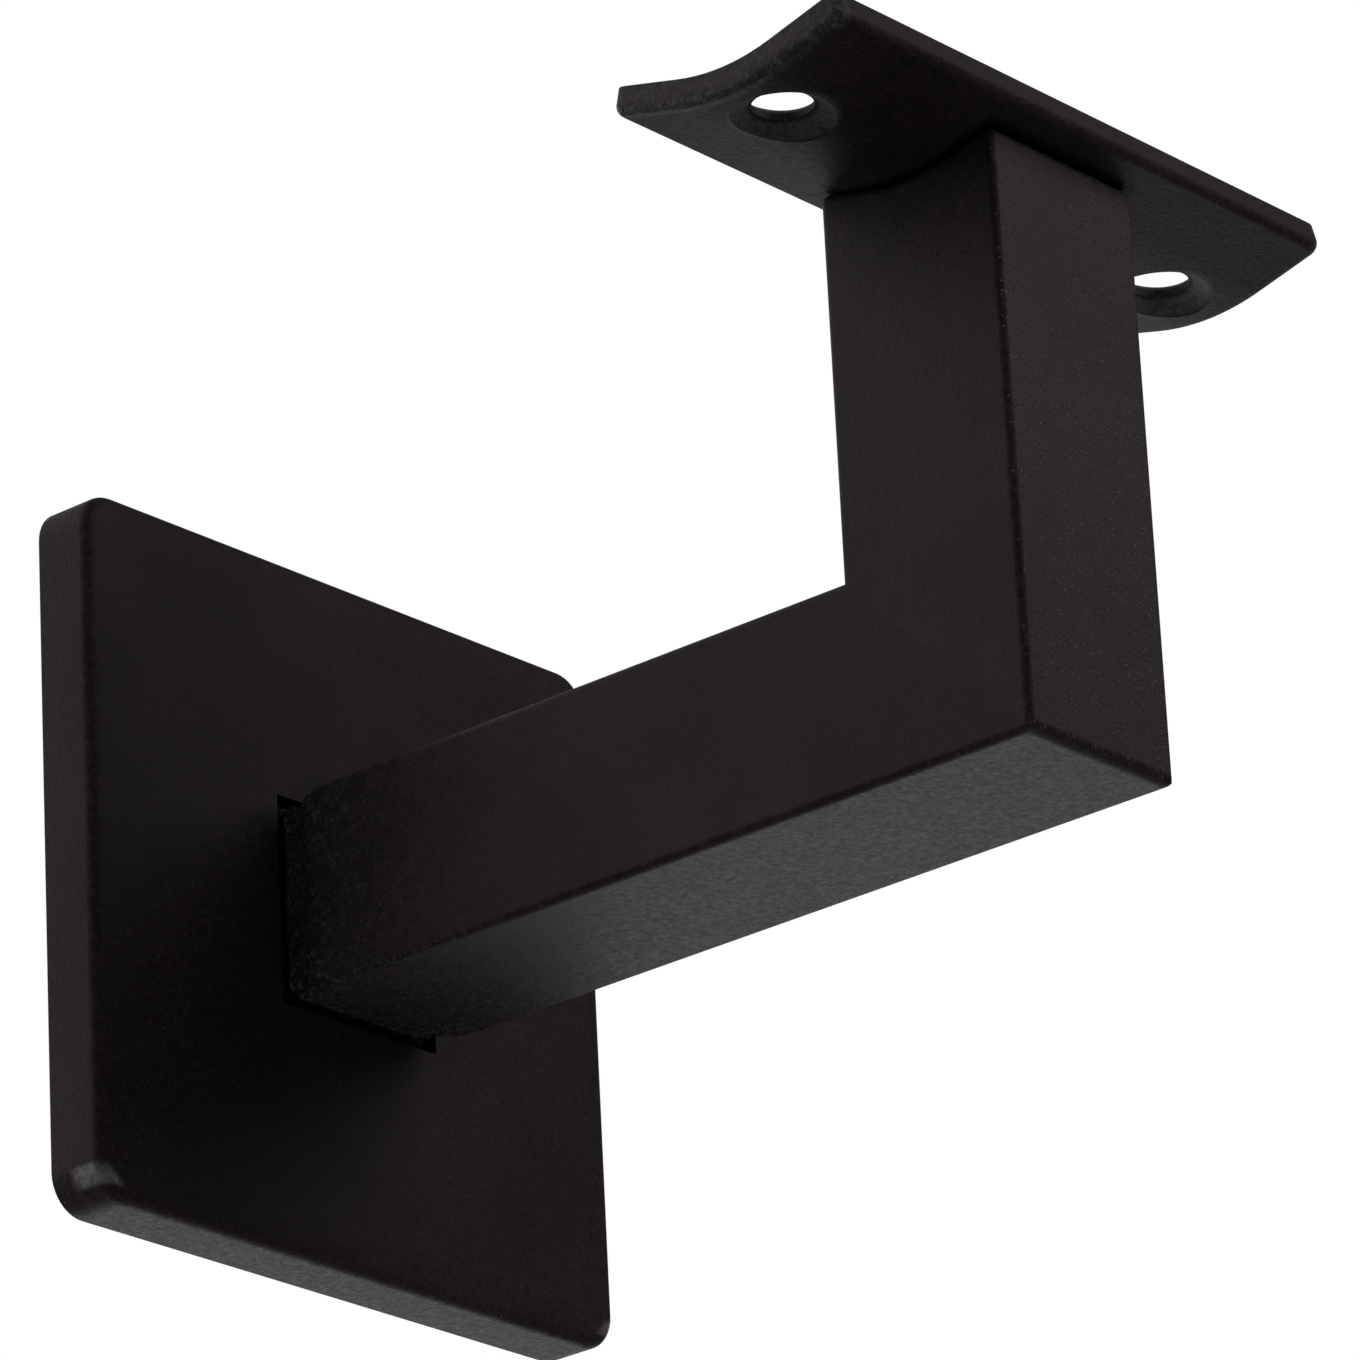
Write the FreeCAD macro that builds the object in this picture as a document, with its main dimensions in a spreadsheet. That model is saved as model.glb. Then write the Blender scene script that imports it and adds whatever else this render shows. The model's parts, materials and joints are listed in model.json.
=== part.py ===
"""Wall bracket for a round handrail: a square base plate under a pressed cover, a mitred arm and post
of square steel tube, and a trough-shaped saddle that is screwed to the underside of the rail.

Frame: the origin is the centre of the base plate's back face, on the wall. The wall is the plane y = 0,
the arm runs out along -Y, the rail runs along X and +Z is up. All sizes are in millimetres.
"""
import FreeCAD, Part
import os
import re

import Sketcher
from FreeCAD import Vector

# The driving dimensions: each is written once here and becomes a named cell of the spreadsheet.
SIZES = {
    # square tube of the arm and the post, 20 mm under 0.15 mm of powder coat
    "tube_side": 20.3,
    "tube_wall": 2.0,
    "tube_corner_radius": 0.8,
    "heel_radius": 1.2,
    # where the bracket holds the rail: the post's axis from the wall, and the saddle's underside above
    # the arm's axis
    "arm_reach": 86.0,
    "saddle_level": 46.8,
    "handrail_radius": 21.2,
    # saddle: a trough with a round middle and a flat flank along each side
    "saddle_length": 70.0,
    "saddle_thickness": 2.5,
    "saddle_flank_angle": 14.5,
    "saddle_flank_length": 8.0,
    "saddle_corner_radius": 1.6,
    "saddle_rim_radius": 1.0,
    "saddle_hole_spacing": 54.0,
    "saddle_hole_radius": 2.85,
    "saddle_hole_break": 0.5,
    "saddle_sink_radius": 5.3,
    "saddle_sink_angle": 60.0,
    # ground edge around the top of the post, which leaves a groove under the saddle
    "post_head_radius": 0.8,
    # pressed cover and the room that it leaves in front of the base plate
    "cover_side": 70.0,
    "cover_wall": 1.0,
    "cover_corner_radius": 3.8,
    "cover_bend_radius": 1.2,
    "cover_arm_clearance": 0.35,
    "cover_room": 1.5,
    # base plate
    "flange_thickness": 4.0,
    "flange_clearance": 0.5,
    "flange_hole_spacing": 42.0,
    "flange_hole_radius": 3.25,
    "flange_sink_radius": 6.0,
    # weld bead at the arm's root, as far as it stays back from the cover
    "weld_clearance": 0.3,
    # how far a cutting outline runs past the material
    "overrun": 5.0,
}

# Sizes that follow from the driving ones.
DERIVED = {
    "tube_half": "tube_side / 2",
    "post_front": "arm_reach + tube_half",
    "saddle_outer_radius": "handrail_radius + saddle_thickness",
    "cover_depth": "flange_thickness + cover_room + cover_wall",
    "flange_half": "cover_side / 2 - cover_wall - flange_clearance",
    "flange_corner_radius": "cover_corner_radius - cover_wall - flange_clearance",
    "weld_leg": "cover_room - weld_clearance",
}
CELLS = {**SIZES, **{name: "=" + formula for name, formula in DERIVED.items()}}

NEAR = 1e-4

doc = FreeCAD.newDocument("handrail_bracket")
sizes = doc.addObject("Spreadsheet::Sheet", "sizes")
for row, (alias, content) in enumerate(CELLS.items(), 1):
    sizes.set(f"A{row}", alias)
    sizes.set(f"B{row}", str(content))
    sizes.setAlias(f"B{row}", alias)
doc.recompute()


def bound(formula):
    """The formula with each size's name pointing at its cell of the spreadsheet."""
    return re.sub("[a-z_]+", lambda word: f"sizes.{word[0]}" if word[0] in CELLS else word[0], formula)


def bind(thing, prop, formula):
    """Tie a property of an object to a formula in the sizes."""
    thing.setExpression(prop, bound(formula))


def new_body(name):
    body = doc.addObject("PartDesign::Body", name)
    body.Label = name
    return body


def origin_plane(body, role):
    """The body's own origin plane: XY_Plane, XZ_Plane or YZ_Plane."""
    return next(feature for feature in body.Origin.OriginFeatures if feature.Role == role)


def value_of(formula):
    """The number that a formula in the sizes gives now."""
    return float(doc.arm.evalExpression(bound(formula)))


# Sketches. A place in a sketch is a pair of formulas, and every point and radius is bound to them.


def new_sketch(body, name, plane, offset="0"):
    """A sketch on an origin plane of the body, moved along the plane's normal by a formula."""
    sketch = body.newObject("Sketcher::SketchObject", name)
    sketch.AttachmentSupport = [(origin_plane(body, plane), "")]
    sketch.MapMode = "FlatFace"
    bind(sketch, "AttachmentOffset.Base.z", offset)
    return sketch


def point_at(place):
    return Vector(value_of(place[0]), value_of(place[1]), 0)


def hold_point(sketch, geometry, end, place):
    """Fix one point of a sketch at a place, measured from the sketch's origin."""
    for kind, axis, formula in zip(("DistanceX", "DistanceY"), (-2, -1), place):
        if formula == "0":
            sketch.addConstraint(Sketcher.Constraint("PointOnObject", geometry, end, axis))
            continue
        number = sketch.addConstraint(Sketcher.Constraint(kind, -1, 1, geometry, end, value_of(formula)))
        bind(sketch, f"Constraints[{number}]", formula)


def hold_radius(sketch, geometry, radius):
    number = sketch.addConstraint(Sketcher.Constraint("Radius", geometry, value_of(radius)))
    bind(sketch, f"Constraints[{number}]", radius)


def outline(sketch, corners, arcs=None):
    """A closed outline through the corners. arcs gives a side, by its number, its radius and a place on
    its middle; every other side is straight."""
    arcs = arcs or {}
    points = [point_at(corner) for corner in corners]
    sides = []
    for number, (start, stop) in enumerate(zip(points, points[1:] + points[:1])):
        if number in arcs:
            middle = point_at(arcs[number][1])
            geometry = sketch.addGeometry(Part.Arc(start, middle, stop))
            anticlockwise = (middle - start).cross(stop - middle).z > 0
            sides.append((geometry, 1, 2) if anticlockwise else (geometry, 2, 1))
        else:
            geometry = sketch.addGeometry(Part.LineSegment(start, stop))
            sides.append((geometry, 1, 2))
    for (geometry, _, last), (following, first, _) in zip(sides, sides[1:] + sides[:1]):
        sketch.addConstraint(Sketcher.Constraint("Coincident", geometry, last, following, first))
    for (geometry, first, _), corner in zip(sides, corners):
        hold_point(sketch, geometry, first, corner)
    for number, (radius, _) in arcs.items():
        hold_radius(sketch, sides[number][0], radius)


def square(sketch, half):
    """A square centred on the sketch's origin; half is the formula for half its side."""
    low = f"-( {half} )"
    outline(sketch, [(low, low), (half, low), (half, half), (low, half)])


def rounded_square(sketch, half, radius):
    """A centred square with rounded corners, drawn anticlockwise from its lower side."""
    flat = f"( {half} ) - ( {radius} )"
    crown = f"( {half} ) - ( {radius} ) * ( 1 - cos( 45 ) )"
    corners, arcs = [], {}
    for turn, (right, up) in enumerate([(1, -1), (1, 1), (-1, 1), (-1, -1)]):
        along_side = (f"{right} * ( {flat} )", f"{up} * ( {half} )")
        up_side = (f"{right} * ( {half} )", f"{up} * ( {flat} )")
        corners += [along_side, up_side] if right * up < 0 else [up_side, along_side]
        arcs[2 * turn] = (radius, (f"{right} * ( {crown} )", f"{up} * ( {crown} )"))
    outline(sketch, corners, arcs)


def circles(sketch, centres, radius):
    """One circle of the same radius at each centre."""
    for centre in centres:
        geometry = sketch.addGeometry(Part.Circle(point_at(centre), Vector(0, 0, 1), value_of(radius)))
        hold_point(sketch, geometry, 3, centre)
        hold_radius(sketch, geometry, radius)


# Features.


def pad(body, name, sketch, length, both_ways=False):
    """Material along the sketch's normal, or half of the length each way."""
    feature = body.newObject("PartDesign::Pad", name)
    feature.Profile = sketch
    feature.SideType = "Symmetric" if both_ways else "One side"
    bind(feature, "Length", length)
    doc.recompute()
    return feature


def cut(body, feature):
    """Recompute after a cutting feature and make sure that it took material away."""
    before = body.Shape.Volume
    body.Tip = feature
    doc.recompute()
    if body.Shape.Volume >= before - NEAR:
        raise RuntimeError(f"{feature.Name} cuts nothing")


def pocket_through(body, name, sketch):
    """A cut right through the body, along the sketch's normal and against it."""
    feature = body.newObject("PartDesign::Pocket", name)
    feature.Profile = sketch
    feature.Type = "ThroughAll"
    feature.SideType = "Symmetric"
    cut(body, feature)


def dress(body, kind, name, test, prop, size):
    """Fillet or chamfer every edge of the body that passes the test."""
    base = body.Tip
    feature = body.newObject(f"PartDesign::{kind}", name)
    feature.Base = (base, [f"Edge{n}" for n, edge in enumerate(base.Shape.Edges, 1) if test(edge)])
    bind(feature, prop, size)
    doc.recompute()
    return feature


def middle_of(edge):
    return edge.valueAt((edge.FirstParameter + edge.LastParameter) / 2)


# The elbow. Seen along X, the mitre runs from the inner corner to the outer corner, and the heel radius
# rounds the outer corner across both tubes. All places are measured from the post's axis.

MITRE_INSIDE = ("tube_half + overrun", "tube_half + overrun")
MITRE_HEEL = ("heel_radius * ( 1 - cos( 45 ) ) - tube_half",) * 2
FAR_BELOW = "-( tube_half + overrun )"


def heel_point(turn):
    """A place on the heel's round, by its turn about the round's centre."""
    return tuple(f"heel_radius * ( 1 + {way}( {turn} ) ) - tube_half" for way in ("cos", "sin"))


def shifted(corners, formula):
    """The same places, moved along a sketch's first axis."""
    return [(f"{first} + {formula}", second) for first, second in corners]


def tube(body, plane, offset, length):
    """A square tube with rounded outer corners, standing on a plane of the body."""
    section = new_sketch(body, f"{body.Name}_section", plane, offset)
    rounded_square(section, "tube_half", "tube_corner_radius")
    square(section, "tube_half - tube_wall")
    pad(body, f"{body.Name}_tube", section, length)


def make_arm():
    """Level tube from the base plate to the elbow."""
    body = new_body("arm")
    tube(body, "XZ_Plane", "flange_thickness", "post_front - flange_thickness")
    mitre = new_sketch(body, "arm_mitre", "YZ_Plane")
    corners = [
        MITRE_INSIDE,
        MITRE_HEEL,
        heel_point("270"),
        ("heel_radius - tube_half", FAR_BELOW),
        (FAR_BELOW, FAR_BELOW),
        (FAR_BELOW, MITRE_INSIDE[1]),
    ]
    round_middle = shifted([heel_point("247.5")], "-arm_reach")[0]
    outline(mitre, shifted(corners, "-arm_reach"), {1: ("heel_radius", round_middle)})
    pocket_through(body, "arm_mitre_cut", mitre)
    return body


def make_post():
    """Upright tube from the elbow to the saddle, modelled about its own axis."""
    body = new_body("post")
    tube(body, "XY_Plane", "-tube_half", "tube_side + saddle_level")
    mitre = new_sketch(body, "post_mitre", "YZ_Plane")
    corners = [
        MITRE_INSIDE,
        MITRE_HEEL,
        heel_point("180"),
        (FAR_BELOW, "heel_radius - tube_half"),
        (FAR_BELOW, FAR_BELOW),
        (MITRE_INSIDE[0], FAR_BELOW),
    ]
    outline(mitre, corners, {1: ("heel_radius", heel_point("202.5"))})
    pocket_through(body, "post_mitre_cut", mitre)

    # the head is cut to the saddle's underside: its round middle and a little of each flank
    head = new_sketch(body, "post_head", "YZ_Plane")
    middle = "saddle_outer_radius * sin( saddle_flank_angle )"
    foot = "saddle_level + saddle_outer_radius * ( 1 - cos( saddle_flank_angle ) )"
    reach = "tube_half + overrun"
    rim = f"{foot} + ( {reach} - {middle} ) * tan( saddle_flank_angle )"
    top = "saddle_level + tube_side + overrun"
    outline(
        head,
        [
            (f"-( {reach} )", rim),
            (f"-( {middle} )", foot),
            (middle, foot),
            (reach, rim),
            (reach, top),
            (f"-( {reach} )", top),
        ],
        {1: ("saddle_outer_radius", ("0", "saddle_level"))},
    )
    pocket_through(body, "post_head_cut", head)

    half, level = value_of("tube_half"), value_of("saddle_level")
    corner = value_of("tube_corner_radius")

    def on_head_rim(edge):
        place = middle_of(edge)
        outside = max(abs(place.x), abs(place.y)) > half - corner / 2
        return outside and edge.BoundBox.ZMin > level - NEAR

    dress(body, "Fillet", "post_head_round", on_head_rim, "Radius", "post_head_radius")
    bind(body, "Placement.Base.y", "-arm_reach")
    return body


def make_saddle():
    """Trough that carries the rail, modelled about the lowest point of its underside."""
    body = new_body("saddle")
    section = new_sketch(body, "saddle_section", "YZ_Plane")
    turn_out, turn_up = "sin( saddle_flank_angle )", "( 1 - cos( saddle_flank_angle ) )"
    flank_out = "saddle_flank_length * cos( saddle_flank_angle )"
    flank_up = "saddle_flank_length * sin( saddle_flank_angle )"

    def flank(radius, base):
        """Where a face of the trough leaves its round, and where it ends."""
        start = (f"{radius} * {turn_out}", f"{base} + {radius} * {turn_up}")
        return start, (f"{start[0]} + {flank_out}", f"{start[1]} + {flank_up}")

    def mirrored(place):
        return f"-( {place[0]} )", place[1]

    under, under_end = flank("saddle_outer_radius", "0")
    upper, upper_end = flank("handrail_radius", "saddle_thickness")
    outline(
        section,
        [
            mirrored(under),
            under,
            under_end,
            upper_end,
            upper,
            mirrored(upper),
            mirrored(upper_end),
            mirrored(under_end),
        ],
        {
            0: ("saddle_outer_radius", ("0", "0")),
            4: ("handrail_radius", ("0", "saddle_thickness")),
        },
    )
    pad(body, "saddle_strip", section, "saddle_length", both_ways=True)

    end, side = value_of("saddle_length / 2"), value_of(upper_end[0])
    dress(
        body,
        "Fillet",
        "saddle_corners",
        lambda edge: abs(abs(middle_of(edge).x) - end) < NEAR and abs(middle_of(edge).y) > side,
        "Radius",
        "saddle_corner_radius",
    )

    # the lower rim is softened all the way round: its points lie on the underside, near the outline
    outer, angle = value_of("saddle_outer_radius"), value_of(turn_out)
    slope, corner = value_of("tan( saddle_flank_angle )"), value_of("saddle_corner_radius")
    round_edge, lift = value_of(under[0]), value_of(under[1])

    def underside(y):
        """Height of the underside at a distance from the middle."""
        y = abs(y)
        return lift + (y - round_edge) * slope if y > round_edge else outer - (outer**2 - y**2) ** 0.5

    def on_lower_rim(edge):
        place = middle_of(edge)
        outermost = abs(place.x) > end - corner or abs(place.y) > side
        return outermost and abs(place.z - underside(place.y)) < NEAR

    dress(body, "Fillet", "saddle_rim", on_lower_rim, "Radius", "saddle_rim_radius")

    # countersunk screw hole with a broken upper edge, turned about its own axis and mirrored to the other end
    hole = new_sketch(body, "saddle_hole", "XZ_Plane")
    centre = "saddle_hole_spacing / 2"
    wall = f"{centre} + saddle_hole_radius"
    slant = "tan( saddle_sink_angle )"
    outline(
        hole,
        [
            (centre, "-overrun"),
            (f"{centre} + saddle_sink_radius + overrun * {slant}", "-overrun"),
            (wall, f"( saddle_sink_radius - saddle_hole_radius ) / {slant}"),
            (wall, "saddle_thickness - saddle_hole_break"),
            (f"{wall} + saddle_hole_break + overrun", "saddle_thickness + overrun"),
            (centre, "saddle_thickness + overrun"),
        ],
    )
    drilled = body.newObject("PartDesign::Groove", "saddle_hole_cut")
    drilled.Profile = hole
    drilled.ReferenceAxis = (hole, ["Edge6"])
    drilled.Angle = 360
    cut(body, drilled)
    both = body.newObject("PartDesign::Mirrored", "saddle_holes")
    both.Originals = [drilled]
    both.MirrorPlane = (origin_plane(body, "YZ_Plane"), [""])
    cut(body, both)

    bind(body, "Placement.Base.y", "-arm_reach")
    bind(body, "Placement.Base.z", "saddle_level")
    return body


def make_flange():
    """Base plate with four countersunk screw holes."""
    body = new_body("wall_flange")
    plate = new_sketch(body, "flange_outline", "XZ_Plane")
    rounded_square(plate, "flange_half", "flange_corner_radius")
    pad(body, "flange_plate", plate, "flange_thickness")
    holes = new_sketch(body, "flange_holes", "XZ_Plane")
    ways = ("-flange_hole_spacing / 2", "flange_hole_spacing / 2")
    circles(holes, [(across, up) for across in ways for up in ways], "flange_hole_radius")
    pocket_through(body, "flange_hole_cut", holes)

    front = -value_of("flange_thickness")

    def hole_mouth(edge):
        rim = isinstance(edge.Curve, Part.Circle) and edge.isClosed()
        return rim and abs(middle_of(edge).y - front) < NEAR

    dress(body, "Chamfer", "flange_sinks", hole_mouth, "Size", "flange_sink_radius - flange_hole_radius")
    return body


def make_weld():
    """Fillet weld around the arm's root: a collar whose sides slope at 45 degrees to the tube."""
    body = new_body("root_weld")
    foot = new_sketch(body, "weld_foot", "XZ_Plane", "flange_thickness")
    rounded_square(foot, "tube_half + weld_leg", "tube_corner_radius + weld_leg")
    bead = pad(body, "weld_bead", foot, "weld_leg")
    bead.TaperAngle = -45
    doc.recompute()
    inside = new_sketch(body, "weld_inside", "XZ_Plane")
    rounded_square(inside, "tube_half", "tube_corner_radius")
    pocket_through(body, "weld_inside_cut", inside)
    return body


def make_cover():
    """Pressed cover: a shallow square dish, open to the wall, with a square opening for the arm."""
    body = new_body("cover_rosette")
    dish = new_sketch(body, "cover_outline", "XZ_Plane")
    rounded_square(dish, "cover_side / 2", "cover_corner_radius")
    pad(body, "cover_block", dish, "cover_depth")
    front = -value_of("cover_depth")
    dress(
        body,
        "Fillet",
        "cover_bend",
        lambda edge: abs(edge.BoundBox.YMin - front) < NEAR and abs(edge.BoundBox.YMax - front) < NEAR,
        "Radius",
        "cover_bend_radius",
    )
    base = body.Tip
    back = next(f"Face{n}" for n, face in enumerate(base.Shape.Faces, 1) if face.BoundBox.YMin > -NEAR)
    shell = body.newObject("PartDesign::Thickness", "cover_shell")
    shell.Base = (base, [back])
    shell.Reversed = True
    bind(shell, "Value", "cover_wall")
    cut(body, shell)
    opening = new_sketch(body, "cover_opening", "XZ_Plane")
    square(opening, "tube_half + cover_arm_clearance")
    pocket_through(body, "cover_opening_cut", opening)
    return body


parts = [make_arm(), make_post(), make_saddle(), make_flange(), make_weld(), make_cover()]
doc.recompute()

for thing in doc.Objects:
    if {"Invalid", "Error"} & set(thing.State):
        raise RuntimeError(f"{thing.Name} did not compute: {thing.State}")
for part in parts:
    shape = part.Shape
    if shape.isNull() or not shape.isValid() or len(shape.Solids) != 1:
        raise RuntimeError(f"{part.Label} is not one valid solid")

os.makedirs("parts", exist_ok=True)
for part in parts:
    part.Shape.exportStep(f"parts/{part.Label}.step")
    print(f"{part.Label}: {part.Shape.Volume:.1f} mm3")
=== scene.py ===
import json
import math

import bpy
import numpy as np
from bpy.props import FloatProperty, FloatVectorProperty, PointerProperty
from bpy.types import Operator, Panel, PropertyGroup
from mathutils import Matrix, Vector


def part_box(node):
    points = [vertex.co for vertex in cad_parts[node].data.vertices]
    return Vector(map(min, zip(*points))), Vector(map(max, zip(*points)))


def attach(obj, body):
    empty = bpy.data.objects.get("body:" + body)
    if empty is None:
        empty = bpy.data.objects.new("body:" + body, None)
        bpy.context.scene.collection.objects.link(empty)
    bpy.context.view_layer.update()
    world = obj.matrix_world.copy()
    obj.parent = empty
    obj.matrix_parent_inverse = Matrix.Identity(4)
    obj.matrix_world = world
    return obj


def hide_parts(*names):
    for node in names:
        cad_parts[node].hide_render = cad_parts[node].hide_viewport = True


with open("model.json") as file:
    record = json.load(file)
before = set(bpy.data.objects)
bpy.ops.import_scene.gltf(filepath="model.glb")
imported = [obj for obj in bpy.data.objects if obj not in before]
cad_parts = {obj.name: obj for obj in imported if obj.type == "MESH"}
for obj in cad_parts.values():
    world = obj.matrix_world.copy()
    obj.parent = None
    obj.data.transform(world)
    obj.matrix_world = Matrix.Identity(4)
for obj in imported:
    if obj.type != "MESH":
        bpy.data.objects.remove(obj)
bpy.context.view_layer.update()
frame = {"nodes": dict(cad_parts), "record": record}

bl_info = {
    "name": "Handrail bracket finish",
    "version": (1, 0, 0),
    "blender": (4, 5, 0),
    "location": "3D View > Sidebar > Bracket",
    "description": "Powder coat, studio and camera for a wall bracket that carries a round handrail",
    "category": "Object",
}

COVER_SIDE, COVER_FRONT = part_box("cover_rosette")[1].x, -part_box("cover_rosette")[0].y
TUBE_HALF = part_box("arm")[1].x
RAYS = ("Is Camera Ray", "Is Glossy Ray", "Is Transmission Ray")
# places on each side and on each corner of the arm's rings, and the distance of the rings at its root
ARM_STRAIGHT, ARM_TURNS, RING_SPACING = 104, 10, 0.00013
# lamps: name, direction from the bracket, distance, side, and the level at which the lamp alone lights a
# white surface that faces it
LAMPS = (
    ("key_lamp", (0.4, -0.8, 0.5), 0.4, 0.3, 0.94),
    ("left_lamp", (-0.7, 0.5, 0.5), 0.8, 0.8, 1.02),
    ("low_lamp", (0.6, 0.5, -0.6), 0.8, 0.6, 0.66),
    ("back_lamp", (0.0, 1.0, 0.0), 1.0, 0.6, 0.87),
)
LAMP_AIM = Vector((0, -0.05, 0.02))


# Shader maths


class Wire:
    """A shader socket, or a plain number, that takes part in sums written in Python.

    Every operator adds one Math node, and node() adds any other kind.
    """

    def __init__(self, tree, socket=None):
        self.tree, self.socket = tree, socket

    def node(self, kind, settings=None, inputs=None, out=0):
        """Add a node: its settings first, then the values or links of its sockets.

        A tuple as out gives a list with a wire for each output that it names.
        """
        made = self.tree.nodes.new(kind)
        for name, value in (settings or {}).items():
            setattr(made, name, value)
        for name, value in (inputs or {}).items():
            if isinstance(value, Wire):
                self.tree.links.new(value.socket, made.inputs[name])
            else:
                made.inputs[name].default_value = value
        if isinstance(out, tuple):
            return [Wire(self.tree, made.outputs[name]) for name in out]
        return Wire(self.tree, made.outputs[out] if made.outputs else None)

    def maths(self, operation, *values):
        return self.node("ShaderNodeMath", {"operation": operation}, dict(enumerate(values)))

    def __add__(self, other):
        return self.maths("ADD", self, other)

    def __sub__(self, other):
        return self.maths("SUBTRACT", self, other)

    def __rsub__(self, other):
        return self.maths("SUBTRACT", other, self)

    def __mul__(self, other):
        return self.maths("MULTIPLY", self, other)

    def __abs__(self):
        return self.maths("ABSOLUTE", self)

    def ramp(self, low, high, start=0.0, end=1.0):
        """Start below low, end above high, and a smooth step between them."""
        return self.node(
            "ShaderNodeMapRange",
            {"interpolation_type": "SMOOTHSTEP"},
            {"Value": self, "From Min": low, "From Max": high, "To Min": start, "To Max": end},
        )


def sizes():
    """The values that the panel shows."""
    return bpy.context.scene.bracket


def coat(name, shine=1.0, crust=None, dust=None, pale_and_painted_light=None, calm=None, painted_shade=None, glaze=None):
    """Black powder coat on Object coordinates.

    The film's height is a coarse and a fine grain, a broad orange peel and the specks; its colour drifts
    with a faint cloud. shine scales the gloss. The zones are functions of x, y and z that give a mask:
    crust is lumpy, and the pale tops of its lumps are painted glints; dust holds more specks; frost is
    softly pale, and on the cover's corners and the saddle's ends and countersinks that paleness is painted
    light; calm has a flatter grain; gloom darkens the colour as painted shade; and glaze has run together
    to a gloss.
    """
    p = sizes()
    material = bpy.data.materials.new(name)
    material.use_nodes = True
    tree = material.node_tree
    tree.nodes.clear()
    start = Wire(tree)
    place = start.node("ShaderNodeTexCoord", out="Object")
    spot = start.node("ShaderNodeSeparateXYZ", {}, {"Vector": place}, ("X", "Y", "Z"))

    def noise(size, detail=2.0, rough=0.5, shift=0.0):
        """Noise with lumps of the given size; shift keeps two of them from running together."""
        away = (shift, shift * 0.7, -shift)
        moved = start.node("ShaderNodeVectorMath", {"operation": "ADD"}, {0: place, 1: away})
        values = {"Vector": moved, "Scale": 1.0 / size, "Detail": detail, "Roughness": rough}
        return start.node("ShaderNodeTexNoise", {}, values, "Fac")

    coarse = noise(p.grain_size, 2.0, 0.6)
    fine = noise(p.grain_size * 0.45, 2.0, 0.6, 0.23)
    peel = noise(p.peel_size, 2.0, 0.5, 0.31)
    cloud = noise(p.cloud_size, 3.0, 0.55, 0.57)
    grain = coarse * 0.6 + fine * 0.4
    cell = {"Vector": place, "Scale": 1.0 / p.speck_spacing}
    reach, pick = start.node("ShaderNodeTexVoronoi", {}, cell, ("Distance", "Color"))
    luck = start.node("ShaderNodeSeparateColor", {}, {"Color": pick}, "Red")
    dusty = dust(*spot) if dust else 0.0
    share = dusty * p.dust_share + p.speck_share
    speck = reach.ramp(0.1, 0.35, 1.0, 0.0) * (luck + share).ramp(1.0, 1.0 + p.speck_share)
    height = grain * p.grain_height
    if calm:
        height = height * (1.0 - calm(*spot) * p.calm_share)
    height = height + peel * p.peel_height + speck * p.grain_height
    pale = speck * (cloud.ramp(0.35, 0.6, 0.15, 0.8) + dusty * 0.7) + grain.ramp(0.56, 0.74) * 0.12
    rough = grain.ramp(0.3, 0.7, p.coat_roughness - p.roughness_drift, p.coat_roughness + p.roughness_drift)
    if crust:
        lumps = noise(p.crust_size, 2.0, 0.65, 0.11)
        zone = crust(*spot)
        height = height + zone * lumps * p.crust_height
        # painted glints: the tops of the crust's lumps are paler
        pale = pale + zone * lumps.ramp(0.5, 0.68) * p.crust_painted_glint
    if pale_and_painted_light:
        # on the cover's corners and the saddle's ends and countersinks this paleness is painted light
        pale = pale + pale_and_painted_light(*spot) * (peel * 0.7 + grain.ramp(0.3, 0.75) * 0.8)
    shade = cloud.ramp(0.3, 0.7, 0.88, 1.12) * grain.ramp(0.35, 0.65, 0.7, 1.3)
    if painted_shade:
        # painted shade: the colour and the specks are darkened by the mask
        dark = 1.0 - painted_shade(*spot) * p.painted_shade_share
        shade, pale = shade * dark, pale * dark
    scaled = {0: tuple(p.coat_colour), "Scale": shade}
    black = start.node("ShaderNodeVectorMath", {"operation": "SCALE"}, scaled)
    mix = {0: pale, 6: black, 7: (*p.speck_colour, 1)}
    colour = start.node("ShaderNodeMix", {"data_type": "RGBA", "clamp_factor": True}, mix, 2)
    bump = start.node("ShaderNodeBump", {}, {"Height": height, "Strength": 1.0, "Distance": 1.0})
    values = {
        "Base Color": colour,
        "Roughness": rough,
        "Normal": bump,
        "Specular IOR Level": p.coat_shine * shine,
        "Specular Tint": (*p.shine_tint, 1),
    }
    if glaze:
        values["Coat Weight"] = glaze(*spot) * grain.ramp(0.35, 0.6, 0.6, 1.0)
        values["Coat Roughness"] = p.glaze_roughness
    shader = start.node("ShaderNodeBsdfPrincipled", {}, values)
    start.node("ShaderNodeOutputMaterial", {}, {"Surface": shader})
    return material


def paint(node, material):
    """Give a CAD node its material in every slot."""
    thing = frame["nodes"][node]
    if not thing.data.materials:
        thing.data.materials.append(material)
    for slot in thing.material_slots:
        slot.material = material


# Surfaces


def step(value, low, high):
    """Smooth step from 0 below low to 1 above high: 3t^2 - 2t^3."""
    t = np.clip((value - low) / (high - low), 0, 1)
    return t * t * (3 - 2 * t)


def rounded_squares(half, corner, straight, turns):
    """Places round squares with rounded corners, as an array of ring, place and two coordinates.

    half and corner have one value for each ring. The places of a side lie at the sine of evenly spaced
    angles, so they crowd towards the corners, and a corner is a quarter circle about a centre that lies
    its radius in from both sides. The later sides are the first one turned by a quarter.
    """
    half, corner = np.asarray(half)[:, None], np.asarray(corner)[:, None]
    inner = half - corner
    along = inner * np.sin(np.linspace(-np.pi / 2, np.pi / 2, straight + 1)[:-1])
    turn = np.linspace(0, np.pi / 2, turns + 1)[:-1]
    side = np.stack([along, -half + 0 * along], -1)
    bend = np.stack([inner + corner * np.sin(turn), -inner - corner * np.cos(turn)], -1)
    quarters = [np.concatenate([side, bend], 1)]
    for _ in range(3):
        quarters.append(quarters[-1] @ np.array([[0, 1], [-1, 0]]))
    return np.concatenate(quarters, 1)


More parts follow.
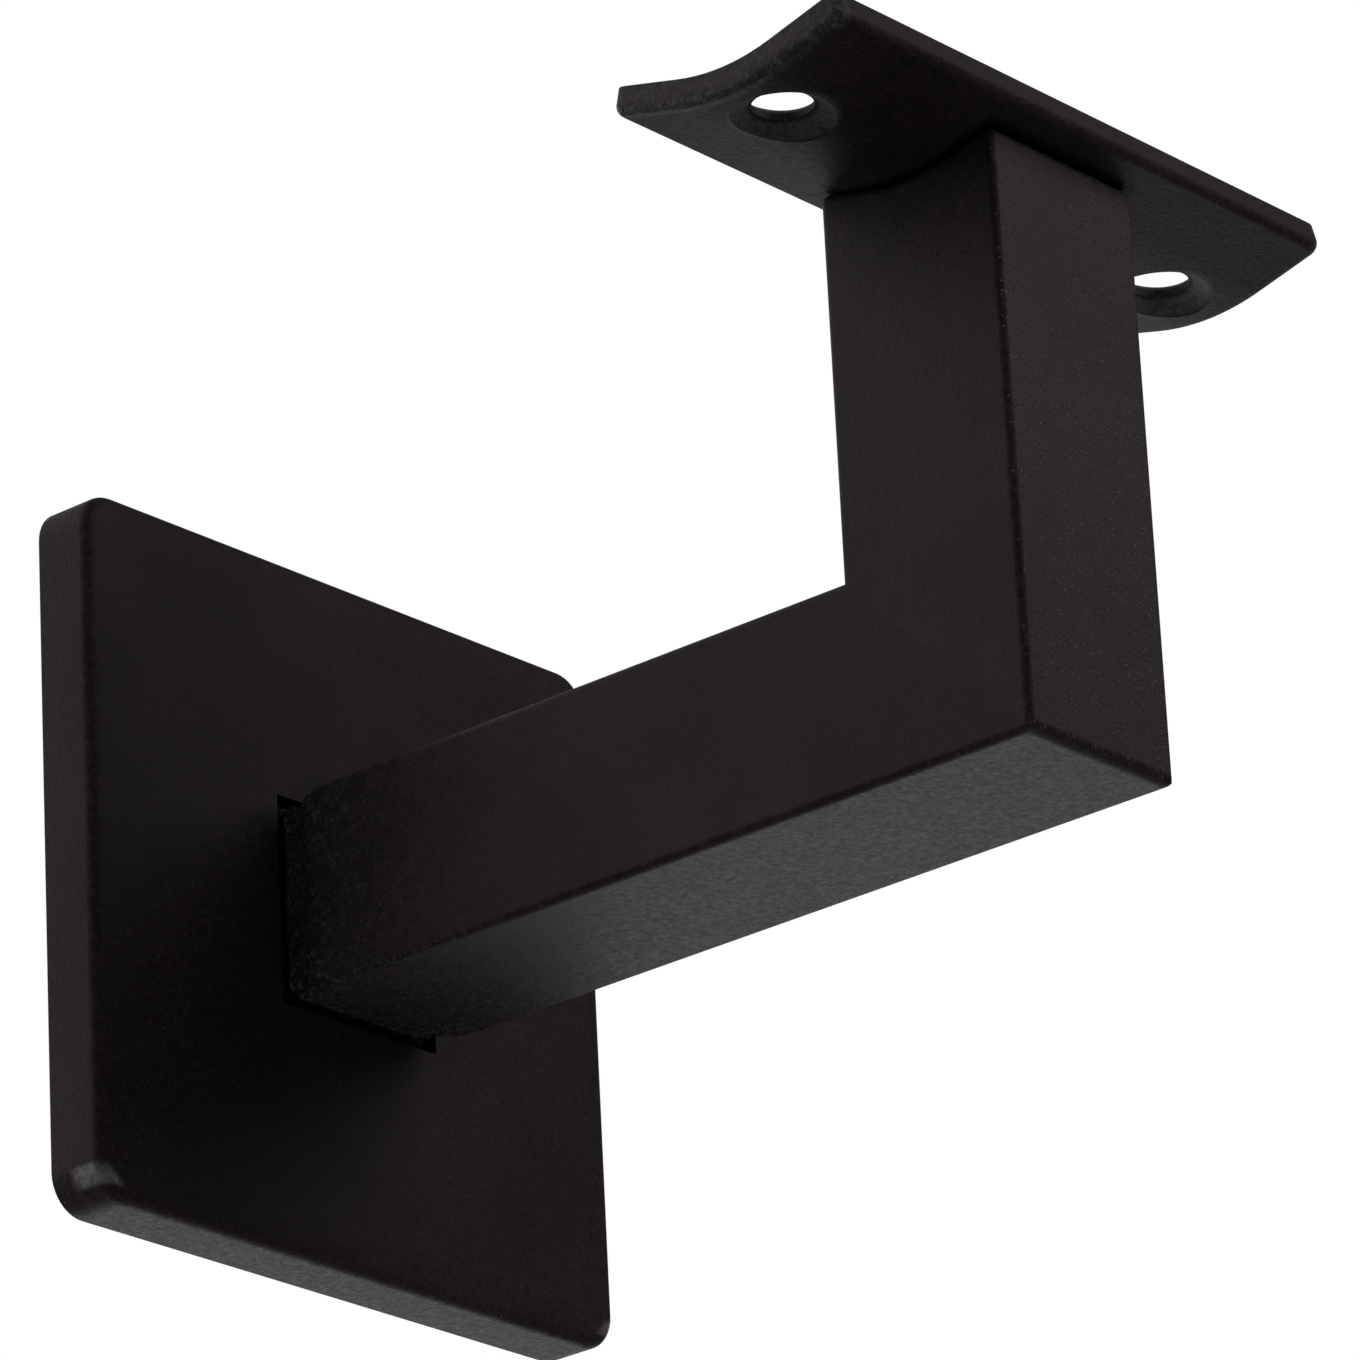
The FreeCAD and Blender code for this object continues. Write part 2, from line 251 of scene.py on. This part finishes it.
def ring_piece(name, across, depth, material):
    """Closed piece through a stack of rings, whose last ring joins the first.

    across holds x and z for each ring and place, and depth how far each lies in front of the wall. Each
    place is joined to its neighbour on the ring and to the same two places of the next ring. The faces
    point outwards where the rings run outwards over a front and back inside it.
    """
    points = np.stack([across[..., 0], -depth + 0 * across[..., 0], across[..., 1]], -1)
    count, around = points.shape[:2]
    ring, place = np.arange(count)[:, None], np.arange(around)[None, :]
    after, beside = (ring + 1) % count, (place + 1) % around
    corners = [ring * around + place, after * around + place, after * around + beside, ring * around + beside]
    faces = np.stack(corners, -1).reshape(-1, 4)
    mesh = bpy.data.meshes.new(name)
    mesh.from_pydata(points.reshape(-1, 3).tolist(), [], faces.tolist())
    mesh.polygons.foreach_set("use_smooth", np.ones(len(faces), bool))
    mesh.set_sharp_from_angle(angle=math.radians(38))
    mesh.materials.append(material)
    thing = bpy.data.objects.new(name, mesh)
    bpy.context.scene.collection.objects.link(thing)
    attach(thing, "root")
    return thing


def lattice_noise(across, along, seed):
    """Smooth noise from 0 to 1: random heights at whole numbers, blended by the smooth step between them.

    The heights repeat after 256 cells each way.
    """
    table = np.random.default_rng(seed).random((256, 256))
    i, j = np.floor(across).astype(int), np.floor(along).astype(int)
    s, t = step(across - i, 0, 1), step(along - j, 0, 1)
    i, j = i % 256, j % 256
    i2, j2 = (i + 1) % 256, (j + 1) % 256
    low = table[i, j] * (1 - s) + table[i2, j] * s
    high = table[i, j2] * (1 - s) + table[i2, j2] * s
    return low * (1 - t) + high * t


class BracketSizes(PropertyGroup):
    """Sizes, colours, light and view of the bracket; lengths are in metres."""

    coat_colour: FloatVectorProperty(
        name="Coat colour",
        description="Black of the powder coat",
        default=(0.0125, 0.0092, 0.0112),
        subtype="COLOR",
    )
    coat_roughness: FloatProperty(
        name="Coat roughness",
        description="How matt the coat is",
        default=0.5,
        subtype="FACTOR",
    )
    roughness_drift: FloatProperty(
        name="Roughness drift",
        description="How far the roughness goes up and down with the grain",
        default=0.1,
        subtype="FACTOR",
    )
    coat_shine: FloatProperty(
        name="Coat shine",
        description="How strongly the coat reflects",
        default=0.036,
        subtype="FACTOR",
    )
    shine_tint: FloatVectorProperty(
        name="Shine tint",
        description="Tint of the coat's gloss",
        default=(1.0, 0.86, 0.95),
        subtype="COLOR",
    )
    grain_size: FloatProperty(
        name="Grain size",
        description="Size of the coat's coarse grain",
        default=0.00055,
        unit="LENGTH",
        precision=5,
    )
    grain_height: FloatProperty(
        name="Grain height",
        description="Height of the coat's grain",
        default=0.00009,
        unit="LENGTH",
        precision=6,
    )
    peel_size: FloatProperty(
        name="Orange peel size",
        description="Size of the coat's broad waves",
        default=0.0018,
        unit="LENGTH",
        precision=5,
    )
    peel_height: FloatProperty(
        name="Orange peel height",
        description="Height of the coat's broad waves",
        default=0.00004,
        unit="LENGTH",
        precision=6,
    )
    cloud_size: FloatProperty(
        name="Cloud size",
        description="Size of the coat's faint colour clouds",
        default=0.012,
        unit="LENGTH",
        precision=4,
    )
    speck_spacing: FloatProperty(
        name="Speck spacing",
        description="Spacing of the pale specks",
        default=0.00045,
        unit="LENGTH",
        precision=5,
    )
    speck_share: FloatProperty(
        name="Speck share",
        description="Share of places that hold a speck",
        default=0.1,
        subtype="FACTOR",
    )
    dust_share: FloatProperty(
        name="Dust share",
        description="How many more specks the dusty zones hold",
        default=0.42,
        subtype="FACTOR",
    )
    speck_colour: FloatVectorProperty(
        name="Speck colour",
        description="Colour of the pale specks",
        default=(0.06, 0.055, 0.06),
        subtype="COLOR",
    )
    calm_share: FloatProperty(
        name="Calm share",
        description="How much of the grain's height is missing where the coat lies calm",
        default=0.6,
        subtype="FACTOR",
    )
    # painted shade: how much the colour is darkened in grooves and gaps
    painted_shade_share: FloatProperty(
        name="Gloom share",
        description="How much darker the coat is in grooves and gaps",
        default=0.85,
        subtype="FACTOR",
    )
    crust_size: FloatProperty(
        name="Crust size",
        description="Size of the lumps where the coat is crusty",
        default=0.0007,
        unit="LENGTH",
        precision=5,
    )
    crust_height: FloatProperty(
        name="Crust height",
        description="Height of the lumps where the coat is crusty",
        default=0.00035,
        unit="LENGTH",
        precision=5,
    )
    # painted glints: how much paler the tops of the crust's lumps are
    crust_painted_glint: FloatProperty(
        name="Crust paleness",
        description="How pale the tops of the crust's lumps are",
        default=0.8,
        subtype="FACTOR",
    )
    glaze_roughness: FloatProperty(
        name="Glaze roughness",
        description="How matt the coat is where it has run to a gloss",
        default=0.32,
        subtype="FACTOR",
    )
    cover_corner: FloatProperty(
        name="Cover corner",
        description="Corner radius of the cover seen from the front",
        default=0.0038,
        unit="LENGTH",
        precision=4,
    )
    cover_bend: FloatProperty(
        name="Cover bend",
        description="Radius of the bend between the cover's front and sides",
        default=0.0011,
        unit="LENGTH",
        precision=5,
    )
    cover_wall: FloatProperty(
        name="Cover wall",
        description="Thickness of the cover's sheet",
        default=0.001,
        unit="LENGTH",
        precision=4,
    )
    crown_width: FloatProperty(
        name="Crown width",
        description="Width of the slope along the front's edges",
        default=0.0035,
        unit="LENGTH",
        precision=4,
    )
    crown_drop: FloatProperty(
        name="Crown drop",
        description="How far the front slopes back at its edges",
        default=0.00025,
        unit="LENGTH",
        precision=5,
    )
    arm_gap: FloatProperty(
        name="Arm gap",
        description="Gap between the cover's opening and the arm",
        default=0.00035,
        unit="LENGTH",
        precision=5,
    )
    tube_corner: FloatProperty(
        name="Tube corner",
        description="Corner radius of the square tube",
        default=0.0008,
        unit="LENGTH",
        precision=5,
    )
    tube_wall: FloatProperty(
        name="Tube wall",
        description="Wall of the square tube",
        default=0.002,
        unit="LENGTH",
        precision=4,
    )
    heel_radius: FloatProperty(
        name="Heel radius",
        description="Rounding of the elbow's outer edge",
        default=0.0012,
        unit="LENGTH",
        precision=5,
    )
    root_corner: FloatProperty(
        name="Root corner",
        description="Corner radius of the arm where it is dressed at the cover",
        default=0.0017,
        unit="LENGTH",
        precision=5,
    )
    root_waist: FloatProperty(
        name="Root waist",
        description="How far the arm is dressed back at the cover",
        default=0.0007,
        unit="LENGTH",
        precision=5,
    )
    spatter_height: FloatProperty(
        name="Spatter height",
        description="Height of the weld spatter at the arm's root",
        default=0.0006,
        unit="LENGTH",
        precision=5,
    )
    rail_height: FloatProperty(
        name="Rail height",
        description="Height of the rail's axis above the arm's axis",
        default=0.0705,
        unit="LENGTH",
        precision=4,
    )
    view_azimuth: FloatProperty(
        name="View azimuth",
        description="Turn of the camera about the vertical",
        default=math.radians(-49.87),
        unit="ROTATION",
    )
    view_elevation: FloatProperty(
        name="View elevation",
        description="Height angle of the camera",
        default=math.radians(-22.56),
        unit="ROTATION",
    )
    view_roll: FloatProperty(
        name="View roll",
        description="Roll of the camera",
        default=math.radians(-2.915),
        unit="ROTATION",
    )
    view_distance: FloatProperty(
        name="View distance",
        description="Distance from the camera to its aim",
        default=0.81323,
        unit="LENGTH",
    )
    view_offset: FloatVectorProperty(
        name="View offset",
        description="Where the object's origin lies beside and above the middle of the view",
        default=(-0.03541, -0.02498),
        size=2,
        unit="LENGTH",
    )
    lens: FloatProperty(
        name="Lens",
        description="Focal length on a 36 mm sensor",
        default=226.73,
    )
    floor_level: FloatProperty(
        name="Floor level",
        description="Height of the floor",
        default=-1.05,
        unit="LENGTH",
    )
    floor_side: FloatProperty(
        name="Floor side",
        description="Side of the square floor",
        default=8.0,
        unit="LENGTH",
    )
    floor_colour: FloatVectorProperty(
        name="Floor colour",
        description="Pale paint of the floor",
        default=(0.85, 0.85, 0.85),
        subtype="COLOR",
    )
    floor_glow: FloatProperty(
        name="Floor glow",
        description="How much paler the floor looks than the lamps make it",
        default=0.4,
    )
    room_light: FloatProperty(
        name="Room light",
        description="Level of the light from all sides",
        default=0.2,
    )


class BRACKET_OT_cover(Operator):
    """Pressed cover, whose front slopes back a little along its edges before the bend"""

    bl_idname = "bracket.cover"
    bl_label = "Cover"

    def execute(self, context):
        p = sizes()
        half, front, wall = COVER_SIDE, COVER_FRONT, p.cover_wall
        hole = TUBE_HALF + p.arm_gap
        # outer skin from the opening to the rim: flat, then a slope that falls with the square of the way
        # out, then a circle that goes on from the slope's lean to the side
        slope = np.linspace(0, 1, 9)
        lean = math.atan(2 * p.crown_drop / p.crown_width)
        turn = np.linspace(lean, math.pi / 2, 9)[1:]
        edge = half - p.cover_bend
        flat = np.linspace(hole, edge - p.crown_width, 8)[:-1]
        bend_out = p.cover_bend * (np.sin(turn) - math.sin(lean)) / (1 - math.sin(lean))
        bend_down = p.cover_bend * (math.cos(lean) - np.cos(turn))
        out = [flat, edge - p.crown_width * (1 - slope), edge + bend_out]
        up = [0 * flat + front, front - p.crown_drop * slope**2, front - p.crown_drop - bend_down]
        # inner skin back to the opening, one wall inside, with its bend in two facets
        inner, roof = half - wall, front - wall
        out += [[half, inner, inner, inner - 0.001, inner - 0.004, hole]]
        up += [[0, 0, roof - 0.0014, roof - 0.0006, roof, roof]]
        out, up = np.concatenate(out), np.concatenate(up)
        corner = np.maximum(p.cover_corner - (half - out), 0.0002)
        rings = rounded_squares(out, corner, 24, 10)

        def corners(x, y, z):
            """1 on the bends at the cover's two lower corners, where the coat is glossy and paler as a
            painted highlight.
            """
            near = half - p.cover_corner
            low = 0.0 - z
            reach = abs(x).ramp(near, near + 0.0014) * low.ramp(near + 0.0001, near + 0.0012)
            above = low.ramp(half - 0.0019, half - 0.0012, 1.0, 0.0)
            outer = (abs(x) + low).ramp(2 * half - p.cover_corner * 1.3, 2 * half - p.cover_corner * 0.95)
            return reach * above * outer * (0.0 - y).ramp(front - 0.0045, front - 0.003)

        # the pale on the corners is a painted highlight; the gloss is the coat's own
        material = coat("cover_coat", shine=0.78, pale_and_painted_light=corners, glaze=corners)
        thing = ring_piece("cover_skin", rings, up[:, None], material)
        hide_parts("cover_rosette")
        return {"FINISHED"}


class BRACKET_OT_arm(Operator):
    """Arm, dressed back and spattered where it comes out of the cover"""

    bl_idname = "bracket.arm"
    bl_label = "Arm"

    def execute(self, context):
        p = sizes()
        elbow = -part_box("post")[0].y - TUBE_HALF
        far = elbow - TUBE_HALF - 0.001
        # depths of the outer rings: closely spaced at the root, then sparse as far as the elbow
        base = -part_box("arm")[1].y
        near = np.arange(COVER_FRONT - 0.001, COVER_FRONT + 0.010, RING_SPACING)
        sparse = np.linspace(COVER_FRONT + 0.0105, far, 8)
        depth = np.concatenate([[base, COVER_FRONT - 0.0014], near, sparse])
        away_from_cover = depth - COVER_FRONT
        behind = step(away_from_cover, -0.0014, -0.0004)
        half = TUBE_HALF - p.root_waist * behind * (1 - step(away_from_cover, 0.0005, 0.005))
        dressed = behind * (1 - step(away_from_cover, 0.0005, 0.0065))
        corner = p.tube_corner + (p.root_corner - p.tube_corner) * dressed
        rings = rounded_squares(half, corner, ARM_STRAIGHT, ARM_TURNS)
        core = (half - corner)[:, None, None]
        normal = rings - np.clip(rings, -core, core)
        normal /= np.linalg.norm(normal, axis=2, keepdims=True)
        # spatter: two sizes of lump that stand out along the normal, most at the corners and the cover
        walk = np.cumsum(np.linalg.norm(np.diff(rings, axis=1, prepend=rings[:, -1:]), axis=2), axis=1)
        out = depth[:, None] + 0 * walk
        large, small = 0.0007, 0.0003
        lumps = 0.6 * lattice_noise(walk / large, out / large, 3)
        lumps = lumps + 0.4 * lattice_noise(walk / small, out / small, 8)
        fade = (behind * (1 - step(away_from_cover, 0.0, 0.009)) ** 1.5)[:, None]
        corners = 2 * np.abs(normal[..., 0] * normal[..., 1])
        rise = p.spatter_height * fade * (0.35 + corners) * np.clip(lumps - 0.4, 0, None) / 0.6
        rings = rings + normal * rise[..., None]
        # elbow: the rings lean over to the mitre, where depth grows as z falls, and the heel is a circle
        # that lifts the places below it
        ring = rings[-1]
        heel = elbow + TUBE_HALF - p.heel_radius
        lowest = -(TUBE_HALF - p.heel_radius * (1 - math.sqrt(0.5)))
        lean = np.concatenate([np.linspace(0.1, 0.9, 9), np.linspace(0.93, 1, 9)])[:, None]
        bent = far + lean * (elbow - np.maximum(ring[:, 1], lowest) - far)
        under = np.sqrt(p.heel_radius**2 - np.clip(bent - heel, 0, p.heel_radius) ** 2)
        low = np.where(bent > heel, -(TUBE_HALF - p.heel_radius) - under, -1.0)
        leaned = np.stack([ring[:, 0] + 0 * bent, np.maximum(ring[:, 1], low)], -1)
        # bore, from the mitre back to the wall
        bore = rounded_squares([TUBE_HALF - p.tube_wall] * 2, [0.0001] * 2, ARM_STRAIGHT, ARM_TURNS)
        bore_depth = np.stack([elbow - bore[0, :, 1], base + 0 * bore[0, :, 1]])
        # the bore comes first, so that the faces point outwards
        across = np.concatenate([rings, leaned, bore])[::-1]
        depths = np.concatenate([out, bent, bore_depth])[::-1]

        def root(x, y, z):
            """1 at the cover, fading out along the arm."""
            return y.ramp(-COVER_FRONT - 0.009, -COVER_FRONT)

        def inside(x, y, z):
            """1 behind the cover's front, where painted shade darkens the gap round the arm."""
            return y.ramp(-COVER_FRONT - 0.0001, -COVER_FRONT + 0.0003)

        def root_and_edge(x, y, z):
            """The root, most at its corners, and the lower edges for a little further. The lumps there stand
            out, and their pale tops are painted glints at the root's corners and a painted highlight along
            the lower edges.
            """
            edge = (abs(x) - z).ramp(2 * TUBE_HALF - 0.0007, 2 * TUBE_HALF - 0.0004)
            edge = edge * y.ramp(-COVER_FRONT - 0.03, -COVER_FRONT - 0.006)
            corner = (abs(x) + abs(z)).ramp(2 * TUBE_HALF - 0.0055, 2 * TUBE_HALF - 0.0025)
            return root(x, y, z) * (corner * 0.9 + 0.6) + edge

        def underside(x, y, z):
            """1 on the arm's underside."""
            return z.ramp(-TUBE_HALF + 0.0001, -TUBE_HALF + 0.0004, 1.0, 0.0)

        def near_cover(x, y, z):
            """1 at the cover, fading out further along the arm."""
            return y.ramp(-COVER_FRONT - 0.04, -COVER_FRONT - 0.004)

        def sanded(x, y, z):
            """Faintly pale at the cover."""
            return y.ramp(-COVER_FRONT - 0.032, -COVER_FRONT - 0.004) * 0.1

        pale = {"crust": root_and_edge, "dust": near_cover, "pale_and_painted_light": sanded}
        # painted shade behind the cover's front; painted glints at the root and along the lower edges
        material = coat("arm_coat", shine=0.8, calm=underside, painted_shade=inside, **pale)
        thing = ring_piece("arm_skin", across, depths, material)
        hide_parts("arm")
        return {"FINISHED"}


class BRACKET_OT_post(Operator):
    """Post, with a coarser coat on its front"""

    bl_idname = "bracket.post"
    bl_label = "Post"

    def execute(self, context):
        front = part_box("post")[0].y

        def face(x, y, z):
            """1 on the post's front."""
            return y.ramp(front + 0.0001, front + 0.0004, 1.0, 0.0)

        def underside(x, y, z):
            """1 on the post's underside."""
            return z.ramp(-TUBE_HALF + 0.0001, -TUBE_HALF + 0.0006, 1.0, 0.0)

        paint("post", coat("post_coat", shine=0.92, dust=face, calm=underside))
        return {"FINISHED"}


class BRACKET_OT_saddle(Operator):
    """Saddle, with painted light and painted glints at its ends and in its countersinks, and painted shade
    round the post and on the lands of its screw holes
    """

    bl_idname = "bracket.saddle"
    bl_label = "Saddle"

    def execute(self, context):
        p = sizes()
        low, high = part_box("saddle")
        middle = (low.y + high.y) / 2
        screws = {mount["name"]: mount["dims"] for mount in frame["record"]["mounts"]}["saddle_screws"]
        screw, radius = screws["spacing_x_mm"] / 2000, screws["hole_r_mm"] / 1000

        def ends(x, y, z):
            """Painted light: part pale on the end faces, their rims and in the countersinks."""
            along, across = y - middle, abs(x) - screw
            from_screw = x.maths("SQRT", across * across + along * along)
            sinks = from_screw.ramp(0.0046, 0.0054, 0.8, 0.0)
            return abs(x).ramp(high.x - 0.0022, high.x - 0.0006) * 0.45 + sinks

        def rims(x, y, z):
            """Part lumpy on the rims of the end faces, with painted glints on the tops of the lumps."""
            side = abs(x)
            return side.ramp(high.x - 0.0018, high.x - 0.0008) * side.ramp(high.x - 0.0002, high.x, 0.6, 0.05)

        def painted_shade_zone(x, y, z):
            """Painted shade: 1 on the underside close round the post and on the lands of the screw holes."""
            along, tall, across = y - middle, z - p.rail_height, abs(x) - screw
            away = x.maths("MAXIMUM", abs(x), abs(along))
            beside = away.ramp(TUBE_HALF, TUBE_HALF + 0.0012, 1.0, 0.0)
            # squares of the distances from the rail's axis and from the screw's
            from_rail = along * along + tall * tall
            from_screw = across * across + along * along
            lands = from_screw.ramp((radius + 0.00015) ** 2, (radius + 0.00055) ** 2, 0.8, 0.0)
            return beside * from_rail.ramp(0.0222**2, 0.023**2) + lands

        # painted glints on the rims, painted light on the ends and in the countersinks, painted shade round
        # the post
        paint("saddle", coat("saddle_coat", shine=0.56, crust=rims, pale_and_painted_light=ends, painted_shade=painted_shade_zone))
        return {"FINISHED"}


class BRACKET_OT_base(Operator):
    """Base plate and its weld, under the cover"""

    bl_idname = "bracket.base"
    bl_label = "Base plate"

    def execute(self, context):

        def bead(x, y, z):
            """1 on the whole bead, which stands in front of the wall."""
            return abs(y).ramp(0.0, 0.001)

        paint("wall_flange", coat("flange_coat"))
        paint("root_weld", coat("weld_coat", crust=bead))
        return {"FINISHED"}


class BRACKET_OT_stage(Operator):
    """Floor, room light, lamps and camera"""

    bl_idname = "bracket.stage"
    bl_label = "Stage"

    def execute(self, context):
        p = sizes()
        half = p.floor_side / 2
        mesh = bpy.data.meshes.new("floor")
        corners = [(-half, -half), (half, -half), (half, half), (-half, half)]
        mesh.from_pydata([(x, y, p.floor_level) for x, y in corners], [], [(0, 1, 2, 3)])
        floor = bpy.data.objects.new("floor", mesh)
        context.scene.collection.objects.link(floor)
        material = bpy.data.materials.new("floor_paint")
        material.use_nodes = True
        tree = material.node_tree
        tree.nodes.clear()
        start = Wire(tree)
        rays = start.node("ShaderNodeLightPath", out=RAYS)
        seen = start.maths("MINIMUM", rays[0] + rays[1] + rays[2], 1.0)
        matt = start.node("ShaderNodeBsdfDiffuse", {}, {"Color": (*p.floor_colour, 1)})
        glow = start.node("ShaderNodeEmission", {}, {"Color": (1, 1, 1, 1), "Strength": p.floor_glow})
        both = start.node("ShaderNodeAddShader", {}, {0: matt, 1: glow})
        chosen = start.node("ShaderNodeMixShader", {}, {0: seen, 1: matt, 2: both})
        start.node("ShaderNodeOutputMaterial", {}, {"Surface": chosen})
        mesh.materials.append(material)

        world = bpy.data.worlds.new("room")
        context.scene.world = world
        world.use_nodes = True
        tree = world.node_tree
        tree.nodes.clear()
        start = Wire(tree)
        # white where the camera or glass looks; gloss sees that white only towards the wall that carries
        # the bracket, and the plain room light in front of it
        rays = start.node("ShaderNodeLightPath", out=RAYS)
        sight = start.node("ShaderNodeTexCoord", out="Generated")
        wall = start.node("ShaderNodeSeparateXYZ", {}, {"Vector": sight}, "Y").ramp(0.2, 0.65)
        seen = start.maths("MINIMUM", rays[0] + rays[1] * wall + rays[2], 1.0)
        level = start.maths("MAXIMUM", seen, p.room_light)
        sky = start.node("ShaderNodeBackground", {}, {"Color": (1, 1, 1, 1), "Strength": level})
        start.node("ShaderNodeOutputWorld", {}, {"Surface": sky})

        for name, way, distance, side, light in LAMPS:
            lamp = bpy.data.lights.new(name, "AREA")
            lamp.shape, lamp.size = "SQUARE", side
            lamp.energy = light * (math.pi * distance) ** 2
            holder = bpy.data.objects.new(name, lamp)
            context.scene.collection.objects.link(holder)
            way = Vector(way).normalized()
            holder.location = LAMP_AIM + way * distance
            holder.rotation_euler = way.to_track_quat("Z", "Y").to_euler()
            holder.visible_camera = False

        data = bpy.data.cameras.new("camera")
        camera = bpy.data.objects.new("camera", data)
        context.scene.collection.objects.link(camera)
        context.scene.camera = camera
        data.sensor_width = 36
        data.lens = p.lens
        a, e = p.view_azimuth, p.view_elevation
        back = Vector((math.sin(a) * math.cos(e), -math.cos(a) * math.cos(e), math.sin(e)))
        right = Vector((math.cos(a), math.sin(a), 0))
        turn = Matrix((right, back.cross(right), back)).transposed() @ Matrix.Rotation(p.view_roll, 3, "Z")
        camera.matrix_world = turn.to_4x4()
        camera.location = turn @ -Vector((*p.view_offset, -p.view_distance))
        context.scene.view_settings.view_transform = "Standard"
        return {"FINISHED"}


class BRACKET_PT_panel(Panel):
    """The bracket's values and steps"""

    bl_label = "Bracket"
    bl_idname = "BRACKET_PT_panel"
    bl_space_type = "VIEW_3D"
    bl_region_type = "UI"
    bl_category = "Bracket"

    def draw(self, context):
        for name in BracketSizes.__annotations__:
            self.layout.prop(context.scene.bracket, name)
        for operator in STEPS:
            self.layout.operator(operator.bl_idname)


STEPS = (
    BRACKET_OT_cover,
    BRACKET_OT_arm,
    BRACKET_OT_post,
    BRACKET_OT_saddle,
    BRACKET_OT_base,
    BRACKET_OT_stage,
)
CLASSES = (BracketSizes, *STEPS, BRACKET_PT_panel)


def register():
    for item in CLASSES:
        bpy.utils.register_class(item)
    bpy.types.Scene.bracket = PointerProperty(type=BracketSizes)


def unregister():
    del bpy.types.Scene.bracket
    for item in reversed(CLASSES):
        bpy.utils.unregister_class(item)


def main():
    register()
    bpy.ops.bracket.cover()
    bpy.ops.bracket.arm()
    bpy.ops.bracket.post()
    bpy.ops.bracket.saddle()
    bpy.ops.bracket.base()
    bpy.ops.bracket.stage()


if __name__ == "__main__":
    main()
